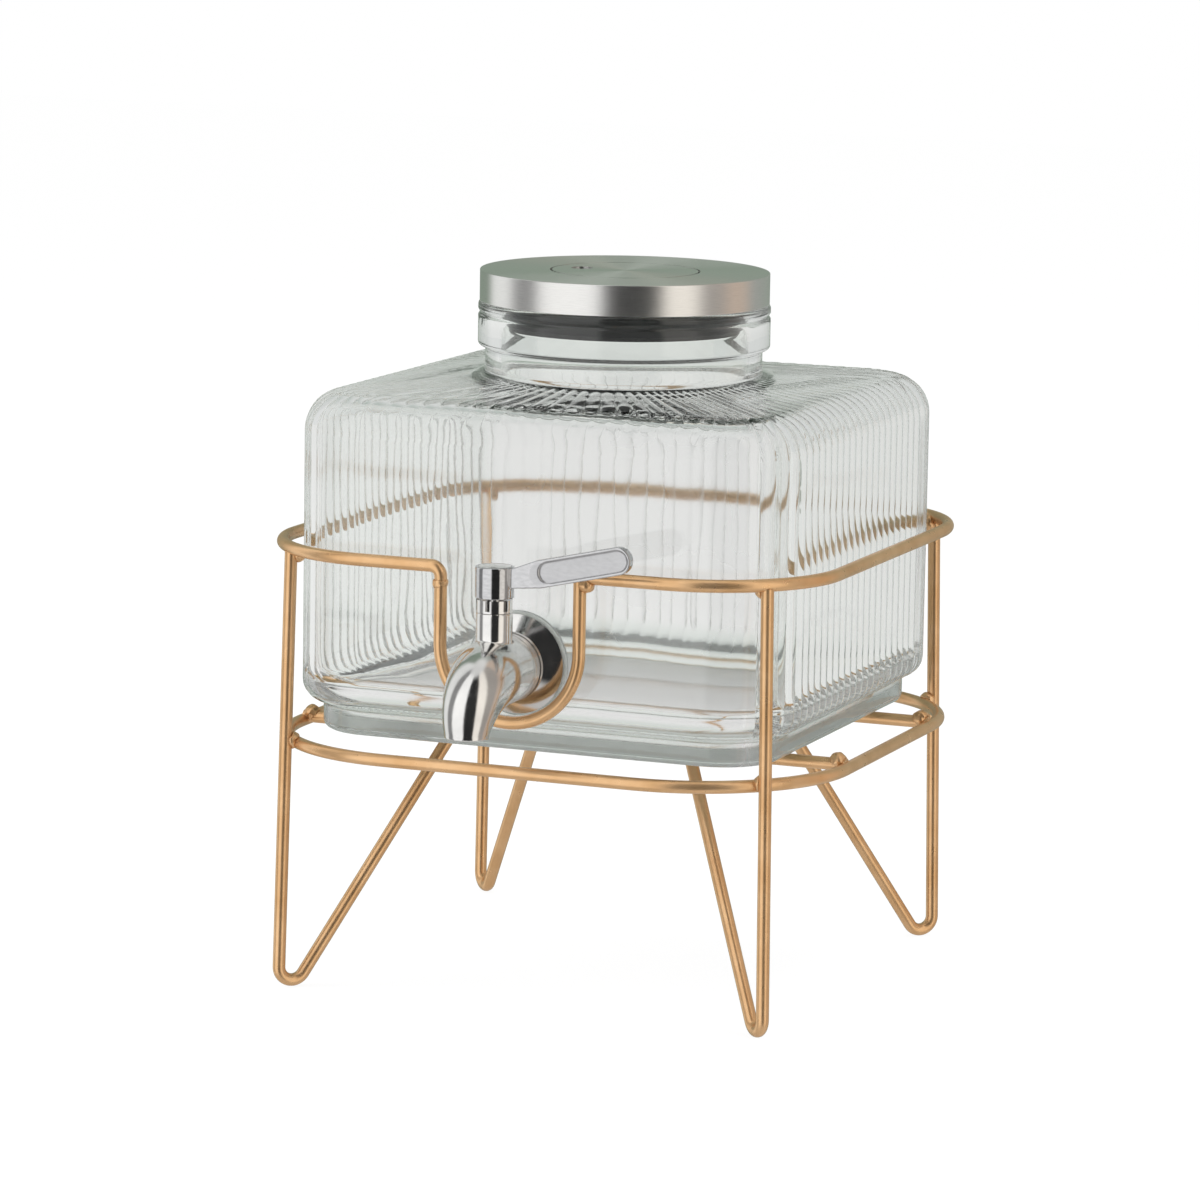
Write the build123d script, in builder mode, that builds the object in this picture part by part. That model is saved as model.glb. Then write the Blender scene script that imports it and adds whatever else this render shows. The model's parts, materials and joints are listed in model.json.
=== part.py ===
"""Square reeded glass beverage dispenser with a steel tap and lid, standing in a welded wire stand.

Millimetres, +Z up, +X to the right seen from the tap side, the tap towards -Y.
The origin is on the floor under the middle of the stand.
"""
from build123d import *

import math
import os

os.makedirs("parts", exist_ok=True)

# Clearances and small values shared by several pieces
running_clearance = 0.05     # radial, between turning pieces
loose_clearance = 0.3        # between pieces that are lifted apart
weld_gap = 0.1               # between two wires that a bead joins
cut_overrun = 2.0            # how far a cutting body runs past what it cuts
edge_round = 0.4             # softened edges of turned and pressed metal

# Wire stand
wire_diameter = 5.0
ring_gap = 8.0                     # between the glass and the upper ring's wire
upper_ring_corner_radius = 52.0
ring_above_tap = 36.7              # upper ring's centreline above the tap's axis
lower_ring_outset = 1.0            # lower ring's centreline outside the upper ring's
lower_ring_height = 97.5
crossbar_rise = 1.5                # crossbar centreline above the lower ring's
leg_outer_lean = 1.3               # degrees from upright
leg_inner_lean = 33.8              # degrees from upright
foot_bend_radius = 5.5
loop_half_width = 28.7             # of the dip that the tap passes through
loop_drop = 21.8                   # from the tap's axis down to the dip's bottom
loop_stub_length = 6.5             # the ring wire's end, bent down into the dip
stub_bend_radius = 4.0
weld_bead_radius = 3.4
butt_bead_radius = 3.0             # collar of weld round the ring's bent end

# Glass jar
jar_half_width = 103.5
jar_corner_radius = 34.0
jar_wall = 5.0
jar_floor = 6.0
jar_body_height = 134.0            # underside of the foot to the top edge
heel_radius = 8.5                  # between the body and the foot
foot_corner_radius = 25.0
foot_height = 11.0
foot_round = 3.5
shoulder_radius = 16.0
crown_rise = 3.5                   # from the top edge up to the neck
neck_radius = 55.0
neck_height = 10.5
rim_overhang = 3.0                 # rim band proud of the neck
rim_height = 17.8
rim_round = 1.8
neck_wall = 6.0
bead_depth = 0.8                   # groove under the lip
bead_height = 1.2
lip_height = 3.4
reed_pitch = 7.05
reed_depth = 0.7
tap_hole_clearance = 0.6           # round the tap's shank
tap_above_foot = 36.5

# Tap
tap_body_radius = 13.4
stem_distance = 25.5               # stem axis in front of the glass
body_back = 11.0                   # stem axis to the body's rear face
spout_reach = 25.0                 # stem axis to the mouth's centre
spout_drop = 19.5                  # of the bend, down to the straight mouth
spout_mouth_radius = 8.6
spout_mouth_length = 1.5
outlet_radius = 7.2
outlet_length = 7.0
tower_wall = 1.25
tower_top = 23.6                   # above the tap's axis
washer_radius = 20.4
washer_thickness = 2.0
flange_inset = 1.1                 # flange's rim inside the washer's
flange_rim = 1.2
flange_depth = 6.0
flange_nose_radius = 11.6
shank_radius = 8.0
thread_depth = 0.6
thread_pitch = 2.0
waterway_radius = 3.9
inner_washer_radius = 14.0
nut_across_flats = 24.0
nut_thickness = 7.0
shank_end_length = 3.0             # shank beyond the nut
groove_width = 1.5
groove_depth = 0.8
spigot_radius = 8.7
spigot_length = 3.6
seal_section_radius = 0.85
core_radius = 5.7
core_half_height = 7.0
core_port_radius = 3.6
stem_radius = 3.0
stem_seal_section_radius = 0.45
stem_seal_spacing = 3.5
tang_side = 4.2
bonnet_crown_height = 4.8
bonnet_slots = 6
bonnet_slot_width = 1.9
bonnet_slot_depth = 3.6
bonnet_slot_height = 4.0
hub_radius = 7.5
hub_height = 12.1
hub_gap = 0.6                      # under the hub
blade_lean = 13.0                  # degrees above level
blade_reach = 51.5                 # stem axis to the centre of the round tip
blade_half_width = 5.3
blade_root_half_width = 2.6
blade_root_end = 19.0
blade_thickness = 4.0
blade_rim = 1.1
blade_panel_depth = 0.7
hub_screw_radius = 1.5
hub_screw_length = 7.0
hub_screw_head_radius = 3.2
hub_screw_head_height = 2.2
hub_cap_radius = 6.2
hub_cap_height = 1.6
hub_cap_dome = 0.5

# Lid
lid_inset = 0.5                    # lid's band inside the rim band
lid_gap = 0.1                      # under the band
lid_band_height = 12.1
lid_sheet = 0.8
seal_inset = 1.6                   # seal's flange inside the band
seal_flange_thickness = 1.2
seal_skirt = 2.2
seal_depth = 10.6                  # below the lip
seal_rib_height = 1.4
plug_flange_thickness = 2.4
plug_wall = 2.4
plug_floor = 2.0                   # under the handle's cup
handle_recess_radius = 29.8
cup_flange = 2.6
handle_gap = 0.8                   # round the handle, in its recess
handle_thickness = 1.2
handle_pivot_offset = 8.0          # towards the press hole
handle_pivot_depth = 2.6           # below the lid's top
handle_pin_radius = 1.2
handle_lug_width = 4.0
handle_lug_spacing = 40.0
handle_lug_radius = 2.4
press_hole_offset = 18.5
press_hole_radius = 4.3
handle_stop_depth = 2.6            # stop shelf, in from the cup's wall
handle_stop_half_angle = 22.0      # degrees
handle_stop_thickness = 1.5

# Places worked out from the sizes above
wire_radius = wire_diameter / 2
upper_ring_half_width = jar_half_width + ring_gap + wire_radius
lower_ring_half_width = upper_ring_half_width + lower_ring_outset
corner_share = 1 - math.sqrt(0.5)
upper_corner = upper_ring_half_width - upper_ring_corner_radius * corner_share
crossbar_height = lower_ring_height + crossbar_rise
foot_bottom = crossbar_height + wire_radius + loose_clearance
jar_top = foot_bottom + jar_body_height
foot_half_width = jar_half_width - heel_radius
heel_bottom = foot_bottom + foot_height
neck_bottom = jar_top + crown_rise
rim_bottom = neck_bottom + neck_height
lip_top = rim_bottom + rim_height
rim_radius = neck_radius + rim_overhang
mouth_radius = neck_radius - neck_wall
tap_hole_radius = shank_radius + tap_hole_clearance
tap_height = foot_bottom + tap_above_foot
loop_bottom_height = tap_height - loop_drop
upper_ring_height = tap_height + ring_above_tap
glass_face = -jar_half_width
stem_y = glass_face - stem_distance
washer_face = glass_face - washer_thickness
flange_face = washer_face - flange_depth
flange_radius = washer_radius - flange_inset
body_face = stem_y + body_back
spout_y = stem_y - spout_reach
mouth_z = tap_height - spout_drop - spout_mouth_length
inner_glass_face = glass_face + jar_wall
nut_start = inner_glass_face + washer_thickness
nut_end = nut_start + nut_thickness
shank_end = nut_end + shank_end_length
chamber_radius = core_radius + running_clearance
tower_radius = chamber_radius + tower_wall
core_bottom = tap_height - core_half_height
core_top = tap_height + core_half_height
tower_z = tap_height + tower_top
crown_top = tower_z + bonnet_crown_height
hub_bottom = crown_top + hub_gap
hub_top = hub_bottom + hub_height
hub_middle = hub_bottom + hub_height / 2
lid_radius = rim_radius - lid_inset
lid_bottom = lip_top + lid_gap
lid_top = lid_bottom + lid_band_height
seal_top = lip_top + seal_flange_thickness
handle_radius = handle_recess_radius - handle_gap
pivot_x = -handle_pivot_offset
pivot_z = lid_top - handle_pivot_depth
tap_axis = Axis((0, 0, tap_height), (0, 1, 0))
stem_axis = Axis((0, stem_y, 0), (0, 0, 1))


def finish_piece(piece, name):
    """Name a finished piece and write it to its own file."""
    piece.part.label = name
    export_step(piece.part, f"parts/{name}.step")


def at_stem(height):
    """Level plane centred on the tap's stem."""
    return Plane(origin=(0, stem_y, height))


# Upper ring: one wire round the jar, open at the front, its left end bent down into the dip
with BuildPart() as upper_ring:
    with BuildLine() as ring_path:
        FilletPolyline(
            (-loop_half_width, -upper_ring_half_width, upper_ring_height - loop_stub_length),
            (-loop_half_width, -upper_ring_half_width, upper_ring_height),
            (-upper_ring_half_width, -upper_ring_half_width, upper_ring_height),
            (-upper_ring_half_width, upper_ring_half_width, upper_ring_height),
            (upper_ring_half_width, upper_ring_half_width, upper_ring_height),
            (upper_ring_half_width, -upper_ring_half_width, upper_ring_height),
            (loop_half_width - wire_radius, -upper_ring_half_width, upper_ring_height),
            radius=[stub_bend_radius] + [upper_ring_corner_radius] * 4,
        )
    with BuildSketch(Plane(origin=ring_path.line @ 0, z_dir=ring_path.line % 0)):
        Circle(wire_radius)
    sweep(path=ring_path.line)
finish_piece(upper_ring, "upper_ring")

# Tap loop: the dip under the tap, welded between the ring's two ends.
# Each whole wire is kept as well as the one coped to its neighbour, to shape the weld beads with.
loop_arc_height = loop_bottom_height + loop_half_width
with BuildPart() as whole_loop:
    with BuildLine(Plane.XZ.offset(upper_ring_half_width)) as loop_path:
        left_side = Line(
            (-loop_half_width, upper_ring_height - loop_stub_length), (-loop_half_width, loop_arc_height)
        )
        dip = ThreePointArc(left_side @ 1, (0, loop_bottom_height), (loop_half_width, loop_arc_height))
        Line(dip @ 1, (loop_half_width, upper_ring_height - wire_radius / 2))
    with BuildSketch(Plane(origin=loop_path.line @ 0, z_dir=loop_path.line % 0)):
        Circle(wire_radius)
    sweep(path=loop_path.line)
with BuildPart() as tap_loop:
    add(whole_loop.part)
    add(upper_ring.part, mode=Mode.SUBTRACT)
finish_piece(tap_loop, "tap_loop")

# Lower ring: closed, inside the four outer leg rods
outer_slope = math.tan(math.radians(leg_outer_lean))
inner_slope = math.tan(math.radians(leg_inner_lean))
leg_at_lower_ring = upper_corner * math.sqrt(2) + (upper_ring_height - lower_ring_height) * outer_slope
lower_corner = (leg_at_lower_ring - wire_diameter - weld_gap) / math.sqrt(2)
lower_ring_corner_radius = (lower_ring_half_width - lower_corner) / corner_share
with BuildPart() as lower_ring:
    with BuildLine(Plane.XY.offset(lower_ring_height)) as lower_path:
        FilletPolyline(
            (-lower_ring_half_width, lower_ring_half_width),
            (-lower_ring_half_width, -lower_ring_half_width),
            (lower_ring_half_width, -lower_ring_half_width),
            (lower_ring_half_width, lower_ring_half_width),
            radius=lower_ring_corner_radius,
            close=True,
        )
    with BuildSketch(Plane(origin=lower_path.line @ 0, z_dir=lower_path.line % 0)):
        Circle(wire_radius)
    sweep(path=lower_path.line)
finish_piece(lower_ring, "lower_ring")

# Hairpin legs stand in the diagonal planes; distances from the middle are along the diagonal
half_angle = math.radians((leg_inner_lean - leg_outer_lean) / 2)
bisector_lean = math.radians((leg_inner_lean + leg_outer_lean) / 2)
bend_centre_height = wire_radius + foot_bend_radius
apex_height = bend_centre_height - foot_bend_radius / math.sin(half_angle) * math.cos(bisector_lean)
leg_top_height = upper_ring_height - wire_radius / 2
apex_out = upper_corner * math.sqrt(2) + (upper_ring_height - apex_height) * outer_slope
leg_top_out = apex_out - (leg_top_height - apex_height) * outer_slope
inner_top_out = apex_out - (crossbar_height - apex_height) * inner_slope
crossbar_y = inner_top_out / math.sqrt(2)

# Crossbars: two rods across the lower ring that carry the jar, coped to the ring's inner side
whole_wires = [upper_ring, whole_loop, lower_ring]
crossbars = {}
for side, place in (("front", -crossbar_y), ("rear", crossbar_y)):
    with BuildPart() as whole_bar:
        with BuildSketch(Plane.YZ):
            with Locations((place, crossbar_height)):
                Circle(wire_radius)
        extrude(amount=lower_ring_half_width, both=True)
    with BuildPart() as crossbar:
        add(whole_bar.part)
        add(lower_ring.part, mode=Mode.SUBTRACT)
        inside_ring = crossbar.solids().sort_by(SortBy.VOLUME)[-1]
        add(inside_ring, mode=Mode.REPLACE)
    whole_wires.append(whole_bar)
    crossbars[side] = crossbar
    finish_piece(crossbar, f"{side}_crossbar")


def diagonal_point(across, along, out, height):
    """Point in a leg's diagonal plane; across and along give the corner's signs."""
    return (across * out / math.sqrt(2), along * out / math.sqrt(2), height)


corners = {
    "front_left": (-1, -1),
    "front_right": (1, -1),
    "rear_left": (-1, 1),
    "rear_right": (1, 1),
}
for corner, (across, along) in corners.items():
    bar = crossbars["front" if along < 0 else "rear"]
    with BuildPart() as whole_leg:
        with BuildLine() as leg_path:
            FilletPolyline(
                diagonal_point(across, along, leg_top_out, leg_top_height),
                diagonal_point(across, along, apex_out, apex_height),
                diagonal_point(across, along, inner_top_out, crossbar_height),
                radius=foot_bend_radius,
            )
        with BuildSketch(Plane(origin=leg_path.line @ 0, z_dir=leg_path.line % 0)):
            Circle(wire_radius)
        sweep(path=leg_path.line)
    with BuildPart() as leg:
        add(whole_leg.part)
        add(upper_ring.part, mode=Mode.SUBTRACT)
        add(bar.part, mode=Mode.SUBTRACT)
        hairpin = leg.solids().sort_by(SortBy.VOLUME)[-1]
        add(hairpin, mode=Mode.REPLACE)
    whole_wires.append(whole_leg)
    finish_piece(leg, f"leg_{corner}")

# Weld beads: a blob at each joint, cut to the wires that it joins. Each has a plane at its middle,
# whose X direction says where the ball's seam lies.
ring_bead_out = upper_corner * math.sqrt(2) - wire_radius
leg_bead_out = leg_at_lower_ring - wire_radius - weld_gap / 2
rod_bead_out = inner_top_out + wire_radius
bar_end = lower_ring_half_width - weld_bead_radius - weld_gap
bead_planes = []
for across, along in corners.values():
    inwards, outwards = (-across, -along, 0), (across, along, 0)
    under_ring = diagonal_point(across, along, ring_bead_out, upper_ring_height - wire_radius)
    beside_leg = diagonal_point(across, along, leg_bead_out, lower_ring_height + wire_radius / 2)
    under_bar = diagonal_point(across, along, rod_bead_out, crossbar_height - wire_radius / 2)
    on_bar = (across * bar_end, along * crossbar_y, crossbar_height + wire_radius / 2)
    bead_planes.append(Plane(origin=under_ring, x_dir=inwards))
    bead_planes += [Plane(origin=place, x_dir=outwards) for place in (beside_leg, under_bar, on_bar)]
right_end = (loop_half_width + wire_radius, -upper_ring_half_width, upper_ring_height - wire_radius)
bead_planes.append(Plane(origin=right_end, x_dir=right_end[:2] + (0,)))
butt_plane = Plane(origin=(-loop_half_width, -upper_ring_half_width, upper_ring_height - loop_stub_length))
beads = []
for plane in bead_planes + [butt_plane]:
    with BuildPart() as bead:
        with Locations(plane):
            Sphere(butt_bead_radius if plane is butt_plane else weld_bead_radius)
        for wire in whole_wires:
            if wire.part.distance_to(Vertex(*plane.origin)) < weld_bead_radius:
                add(wire.part, mode=Mode.SUBTRACT)
    beads.append(bead.solids().sort_by(SortBy.VOLUME)[-1])
with BuildPart() as weld_beads:
    for bead in beads:
        add(bead)
finish_piece(weld_beads, "weld_beads")


# Glass jar: the outline runs from the middle of the front right corner, round the back, to the front left
def outline_runs(half_width, corner_radius):
    """Lengths of the reeded outline's runs: arcs and sides in turn."""
    side = 2 * (half_width - corner_radius)
    arc = corner_radius * math.pi / 2
    return [arc / 2, side, arc, side, arc, side, arc / 2]


def outline_point(distance, inset):
    """Point on the jar's reeded outline, moved in by inset."""
    flat = jar_half_width - jar_corner_radius
    runs = outline_runs(jar_half_width, jar_corner_radius)
    turn = -math.pi / 4
    corner_signs = ((1, -1), (1, 1), (-1, 1), (-1, -1))
    for index, run in enumerate(runs):
        if distance <= run or index == len(runs) - 1:
            break
        distance -= run
        if index % 2 == 0:
            turn += run / jar_corner_radius
    sign_x, sign_y = corner_signs[index // 2]
    if index % 2 == 0:
        angle = turn + distance / jar_corner_radius
        reach = jar_corner_radius - inset
        return (sign_x * flat + reach * math.cos(angle), sign_y * flat + reach * math.sin(angle))
    reach = jar_corner_radius - inset
    start_x = sign_x * flat + reach * math.cos(turn)
    start_y = sign_y * flat + reach * math.sin(turn)
    return (start_x - distance * math.sin(turn), start_y + distance * math.cos(turn))


half_corner = 45  # degrees of each front corner that stay smooth
outline_length = sum(outline_runs(jar_half_width, jar_corner_radius))
reed_count = round(outline_length / reed_pitch)
reed_step = outline_length / reed_count
envelope_half_width = jar_half_width + reed_depth / 2
flat_half_width = jar_half_width - jar_corner_radius
cavity_half_width = jar_half_width - jar_wall
cavity_corner_radius = jar_corner_radius - jar_wall
cavity_bottom = heel_bottom + jar_wall
well_half_width = foot_half_width - jar_wall
well_corner_radius = foot_corner_radius - jar_wall
with BuildPart() as glass_jar:
    with BuildSketch(Plane.XY.offset(heel_bottom)):
        RectangleRounded(2 * envelope_half_width, 2 * envelope_half_width, jar_corner_radius)
    extrude(amount=jar_top - heel_bottom)
    fillet(glass_jar.edges().group_by(Axis.Z)[-1], shoulder_radius)
    fillet(glass_jar.edges().group_by(Axis.Z)[0], heel_radius)
    with BuildSketch(Plane.XY.offset(heel_bottom)):
        with BuildLine():
            for reed in range(reed_count):
                begin = reed * reed_step
                start_inset = reed_depth if reed else 0
                end_inset = reed_depth if reed < reed_count - 1 else 0
                ThreePointArc(
                    outline_point(begin, start_inset),
                    outline_point(begin + reed_step / 2, 0),
                    outline_point(begin + reed_step, end_inset),
                )
            left_corner = CenterArc(
                (-flat_half_width, -flat_half_width), jar_corner_radius, 180 + half_corner, half_corner
            )
            right_corner = CenterArc((flat_half_width, -flat_half_width), jar_corner_radius, 270, half_corner)
            Line(left_corner @ 1, right_corner @ 0)
        make_face()
    extrude(amount=jar_top - heel_bottom, mode=Mode.INTERSECT)
    with BuildSketch(Plane.XY.offset(foot_bottom)):
        RectangleRounded(2 * foot_half_width, 2 * foot_half_width, foot_corner_radius)
    extrude(amount=foot_height + heel_radius)
    fillet(glass_jar.edges().group_by(Axis.Z)[0], foot_round)
    with BuildSketch(Plane.XZ):
        crown_radius = jar_half_width - shoulder_radius - crown_rise
        groove_bottom = lip_top - lip_height - bead_height
        with BuildLine():
            Polyline(
                (0, jar_top - shoulder_radius),
                (crown_radius, jar_top - shoulder_radius),
                (crown_radius, jar_top),
                (neck_radius, neck_bottom),
                (neck_radius, rim_bottom),
                (rim_radius, rim_bottom + rim_round),
                (rim_radius, groove_bottom),
                (rim_radius - bead_depth, groove_bottom + bead_height / 2),
                (rim_radius, groove_bottom + bead_height),
                (rim_radius, lip_top - rim_round),
                (rim_radius - rim_round, lip_top),
                (0, lip_top),
                close=True,
            )
        make_face()
    revolve(axis=Axis.Z)
    with BuildSketch(Plane.XY.offset(cavity_bottom)):
        RectangleRounded(2 * cavity_half_width, 2 * cavity_half_width, cavity_corner_radius)
    extrude(amount=jar_top - jar_wall - cavity_bottom, mode=Mode.SUBTRACT)
    with BuildSketch(Plane.XY.offset(foot_bottom + jar_floor)):
        RectangleRounded(2 * well_half_width, 2 * well_half_width, well_corner_radius)
    extrude(amount=cavity_bottom - foot_bottom - jar_floor, mode=Mode.SUBTRACT)
    with BuildSketch(Plane.XY.offset(jar_top - jar_wall)):
        Circle(mouth_radius)
    extrude(amount=lip_top - jar_top + jar_wall, mode=Mode.SUBTRACT)
    with BuildSketch(Plane.XZ.offset(-inner_glass_face - cut_overrun)):
        with Locations((0, tap_height)):
            Circle(tap_hole_radius)
    extrude(amount=jar_wall + 2 * cut_overrun, mode=Mode.SUBTRACT)
finish_piece(glass_jar, "glass_jar")


# Tap barrel: ringed collar and threaded shank in one turned piece, through the hole in the glass
def turned_profile(points):
    """Closed profile in the plane through the tap's axis; points are distance along Y and radius."""
    placed = [(along, tap_height + out) for along, out in points]
    Polyline(*placed, close=True)


thread_turns = int((shank_end - nut_start) / thread_pitch)
with BuildPart() as tap_barrel:
    with BuildSketch(Plane.YZ):
        with BuildLine():
            turned_profile([
                (shank_end, waterway_radius),
                (shank_end, shank_radius),
                (flange_face, shank_radius),
                (flange_face, tap_body_radius - groove_depth),
                (flange_face - groove_width / 2, tap_body_radius),
                (body_face, tap_body_radius),
                (body_face, spigot_radius),
                (body_face - spigot_length, spigot_radius),
                (body_face - spigot_length, waterway_radius),
            ])
        make_face()
    revolve(axis=tap_axis)
    groove_start = (flange_face + body_face) / 2 + groove_width / 2
    seal_groove = body_face - spigot_length / 2
    with BuildSketch(Plane.YZ):
        with BuildLine():
            turned_profile([
                (groove_start, tap_body_radius + cut_overrun),
                (groove_start, tap_body_radius - groove_depth),
                (groove_start - groove_width, tap_body_radius - groove_depth),
                (groove_start - groove_width, tap_body_radius + cut_overrun),
            ])
        make_face()
        with BuildLine():
            turned_profile([
                (seal_groove + seal_section_radius, spigot_radius + cut_overrun),
                (seal_groove + seal_section_radius, spigot_radius - 2 * seal_section_radius),
                (seal_groove - seal_section_radius, spigot_radius - 2 * seal_section_radius),
                (seal_groove - seal_section_radius, spigot_radius + cut_overrun),
            ])
        make_face()
        for turn in range(thread_turns):
            valley = shank_end - thread_pitch * turn - thread_pitch / 2
            with BuildLine():
                turned_profile([
                    (valley + thread_pitch / 2, shank_radius + thread_depth),
                    (valley, shank_radius - thread_depth),
                    (valley - thread_pitch / 2, shank_radius + thread_depth),
                ])
            make_face()
    revolve(axis=tap_axis, mode=Mode.SUBTRACT)
finish_piece(tap_barrel, "tap_barrel")

# Barrel seal: ring in the spigot's groove
with BuildPart() as barrel_seal:
    with BuildSketch(Plane.YZ):
        with Locations((seal_groove, tap_height + spigot_radius - seal_section_radius)):
            Circle(seal_section_radius)
    revolve(axis=tap_axis)
finish_piece(barrel_seal, "barrel_seal")

# Flange: dished ring that spreads the clamp load over the outer washer
with BuildPart() as tap_flange:
    with BuildSketch(Plane.YZ):
        with BuildLine():
            turned_profile([
                (washer_face, shank_radius),
                (washer_face, flange_radius),
                (washer_face - flange_rim, flange_radius),
                (flange_face, flange_nose_radius),
                (flange_face, shank_radius),
            ])
        make_face()
    revolve(axis=tap_axis)
finish_piece(tap_flange, "tap_flange")

# Washers: silicone rings on both sides of the glass
washers = {
    "outer_washer": (glass_face, washer_face, washer_radius),
    "inner_washer": (nut_start, inner_glass_face, inner_washer_radius),
}
for name, (start, end, outside) in washers.items():
    with BuildPart() as washer:
        with BuildSketch(Plane.YZ):
            with BuildLine():
                turned_profile([(start, shank_radius), (start, outside), (end, outside), (end, shank_radius)])
            make_face()
        revolve(axis=tap_axis)
        fillet(washer.edges().filter_by(GeomType.CIRCLE).sort_by(SortBy.RADIUS)[-2:], edge_round)
    finish_piece(washer, name)

# Tap nut: hexagon on the shank inside the jar
with BuildPart() as tap_nut:
    with BuildSketch(Plane.XZ.offset(-nut_end)):
        with Locations((0, tap_height)):
            RegularPolygon(nut_across_flats / 2, side_count=6, major_radius=False)
            Circle(shank_radius, mode=Mode.SUBTRACT)
    extrude(amount=nut_thickness)
finish_piece(tap_nut, "tap_nut")


def spout_section(turn):
    """Plane across the spout, turn degrees along its elliptical bend."""
    bend = math.radians(turn)
    centre = (0, stem_y - spout_reach * math.sin(bend), tap_height - spout_drop * (1 - math.cos(bend)))
    return Plane(origin=centre, x_dir=(1, 0, 0), z_dir=(0, -spout_reach * math.cos(bend), -spout_drop * math.sin(bend)))


def spout_taper(start, end, turn):
    """Radius that goes from start to end along the bend, slowly at first."""
    return start + (end - start) * (1 - math.cos(math.radians(turn)))


# Tap body: cast elbow with the valve tower on top and the spout in front
spout_turns = [0, 30, 60, 90]
with BuildPart() as tap_body:
    for turn in spout_turns:
        with BuildSketch(spout_section(turn)):
            Circle(spout_taper(tap_body_radius, spout_mouth_radius, turn))
    loft()
    with BuildSketch(spout_section(spout_turns[-1])):
        Circle(spout_mouth_radius)
    extrude(amount=spout_mouth_length)
    with BuildSketch(spout_section(spout_turns[0])):
        Circle(tap_body_radius)
    extrude(amount=-body_back)
    with BuildSketch(at_stem(tap_height)):
        Circle(tower_radius)
    extrude(amount=tower_top)
    with BuildSketch(spout_section(spout_turns[0]).offset(-body_back)):
        Circle(spigot_radius + running_clearance)
    extrude(amount=spigot_length, mode=Mode.SUBTRACT)
    with BuildSketch(at_stem(core_bottom - running_clearance)):
        Circle(chamber_radius)
    extrude(amount=tower_z - core_bottom + running_clearance, mode=Mode.SUBTRACT)
    with BuildSketch(spout_section(spout_turns[0])):
        Circle(waterway_radius)
    extrude(amount=-body_back, mode=Mode.SUBTRACT)
    for turn in spout_turns:
        with BuildSketch(spout_section(turn), mode=Mode.ADD):
            Circle(spout_taper(core_port_radius, outlet_radius, turn))
    loft(mode=Mode.SUBTRACT)
    with BuildSketch(Plane(origin=(0, spout_y, mouth_z))):
        Circle(outlet_radius)
    extrude(amount=outlet_length, mode=Mode.SUBTRACT)
finish_piece(tap_body, "tap_body")

# Bonnet: screwed into the tower, with a slotted crown and the stem's gland
with BuildPart() as bonnet:
    with BuildSketch(at_stem(core_top + loose_clearance)):
        Circle(chamber_radius)
    extrude(amount=tower_z - core_top - loose_clearance)
    with BuildSketch(at_stem(tower_z)):
        Circle(tower_radius)
    extrude(amount=bonnet_crown_height)
    with BuildSketch(at_stem(core_top)):
        Circle(stem_radius + running_clearance)
    extrude(amount=crown_top - core_top + cut_overrun, mode=Mode.SUBTRACT)
    with BuildSketch(at_stem(crown_top)):
        with PolarLocations(
            tower_radius - bonnet_slot_depth / 2 + edge_round, bonnet_slots, start_angle=180 / bonnet_slots
        ):
            Rectangle(bonnet_slot_depth, bonnet_slot_width)
    extrude(amount=-bonnet_slot_height, mode=Mode.SUBTRACT)
finish_piece(bonnet, "bonnet")

# Valve core: cylindrical rotor with its cross port, stem and square tang in one piece
stem_seal_places = [tower_z - stem_seal_spacing * step for step in (1, 2)]
tang_top = hub_top - hub_cap_height - hub_screw_head_height - edge_round
with BuildPart() as valve_core:
    with BuildSketch(at_stem(core_bottom)):
        Circle(core_radius)
    extrude(amount=2 * core_half_height)
    with BuildSketch(at_stem(core_top)):
        Circle(stem_radius)
    extrude(amount=hub_bottom - core_top)
    with BuildSketch(at_stem(hub_bottom)):
        Rectangle(tang_side, tang_side)
    extrude(amount=tang_top - hub_bottom)
    with BuildSketch(Plane.YZ):
        with Locations((stem_y, tap_height)):
            Circle(core_port_radius)
    extrude(amount=core_radius + cut_overrun, both=True, mode=Mode.SUBTRACT)
    for place in stem_seal_places:
        with BuildSketch(at_stem(place - stem_seal_section_radius)):
            Circle(stem_radius + cut_overrun)
            Circle(stem_radius - 2 * stem_seal_section_radius, mode=Mode.SUBTRACT)
        extrude(amount=2 * stem_seal_section_radius, mode=Mode.SUBTRACT)
    with BuildSketch(at_stem(tang_top)):
        Circle(hub_screw_radius)
    extrude(amount=-hub_screw_length, mode=Mode.SUBTRACT)
finish_piece(valve_core, "valve_core")

# Stem seals: two rings in the stem's grooves
with BuildPart() as stem_seals:
    for place in stem_seal_places:
        with Locations((0, stem_y, place)):
            Torus(stem_radius - stem_seal_section_radius, stem_seal_section_radius)
finish_piece(stem_seals, "stem_seals")

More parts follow.
